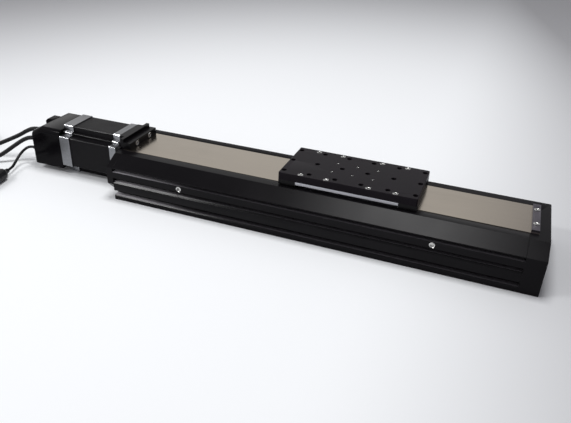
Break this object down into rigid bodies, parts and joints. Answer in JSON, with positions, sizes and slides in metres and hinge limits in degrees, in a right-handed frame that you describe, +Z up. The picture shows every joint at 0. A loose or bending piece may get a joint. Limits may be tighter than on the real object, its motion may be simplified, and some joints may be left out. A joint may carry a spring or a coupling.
{
  "type": "linear translation stage",
  "caption": "Motorised linear translation stage with a ball screw, seal strip, drilled carriage and cabled stepper motor.",
  "frame": {"origin": "centre of the body extrusion's underside", "axes": "+X along the travel, away from the motor; +Y across, towards the far side; +Z up"},
  "size_m": [0.7287, 0.1628, 0.057],
  "materials": {
    "black_anodised": "satin",
    "clear_anodised": "satin",
    "cast_aluminium": "brushed",
    "black_lamination": "satin",
    "black_casting": "matte",
    "bearing_steel": "polished",
    "black_screw_steel": "satin",
    "stainless_screw": "polished",
    "stainless_strip": "satin",
    "rubber_magnet": "matte",
    "black_acetal": "satin",
    "white_acetal": "satin",
    "red_polyurethane": "satin",
    "green_board": "satin",
    "black_rubber": "matte",
    "black_moulding": "matte",
    "black_cable": "satin"
  },
  "bodies": {
    "base": {"base_extrusion": "black_anodised", "cover_rail_near": "black_anodised", "cover_rail_far": "black_anodised", "idler_end_block": "black_anodised", "drive_end_plate": "black_anodised", "motor_mount": "black_anodised", "strip_clamps": "black_anodised", "bearing_housing": "black_anodised", "seal_strip": "stainless_strip", "magnet_strips": "rubber_magnet", "guide_rail_near": "bearing_steel", "guide_rail_far": "bearing_steel", "bearing_retainer": "bearing_steel", "fixed_bearing_outer": "bearing_steel", "floating_bearing_outer": "bearing_steel", "motor_bearings": "bearing_steel", "bearing_cages": "black_acetal", "rail_screws": "black_screw_steel", "end_screws": "black_screw_steel", "bearing_housing_screws": "black_screw_steel", "motor_screws": "black_screw_steel", "strip_clamp_screws": "stainless_screw", "grease_port_plugs": "stainless_screw", "motor_front_bell": "cast_aluminium", "motor_rear_bell": "cast_aluminium", "motor_stator": "black_lamination", "encoder_cover": "black_casting", "encoder_reader": "green_board", "travel_bumpers": "black_rubber", "limit_sensors": "black_acetal", "cable_grommets": "black_moulding", "cable_plugs": "black_moulding", "aux_connector": "black_moulding", "motor_cable": "black_cable", "motor_cable_coil": "black_cable", "encoder_cable": "black_cable", "encoder_cable_coil": "black_cable", "aux_cable": "black_cable"},
    "screw": {"ball_screw": "bearing_steel", "fixed_bearing_inner": "bearing_steel", "floating_bearing_inner": "bearing_steel", "bearing_locknut": "bearing_steel", "coupling_hub_screw": "clear_anodised", "coupling_hub_motor": "clear_anodised", "coupling_spider": "red_polyurethane", "motor_rotor": "bearing_steel", "encoder_disc": "black_acetal"},
    "carriage": {"saddle": "clear_anodised", "carriage_plate": "black_anodised", "end_cap_left": "black_acetal", "end_cap_right": "black_acetal", "plate_screws": "stainless_screw", "pad_screws": "stainless_screw", "strip_pad": "white_acetal", "end_cap_screws": "stainless_screw", "trucks": "bearing_steel", "truck_screws": "black_screw_steel", "nut_bracket": "clear_anodised", "ball_nut": "bearing_steel", "nut_screws": "black_screw_steel"}
  },
  "joints": [
    {"name": "carriage_slide", "type": "slide", "parent": "base", "child": "carriage", "axis": [1, 0, 0], "range_m": [-0.159, 0.091], "deforming": ["seal_strip"]},
    {"name": "screw_spin", "type": "hinge", "parent": "base", "child": "screw", "pos_m": [0, 0, 0.0276], "axis": [1, 0, 0], "range_deg": [-5724.1, 3276.1]}
  ],
  "couplings": [
    {"joint": "screw_spin", "follows": "carriage_slide", "rad_per_m": 628.32}
  ]
}
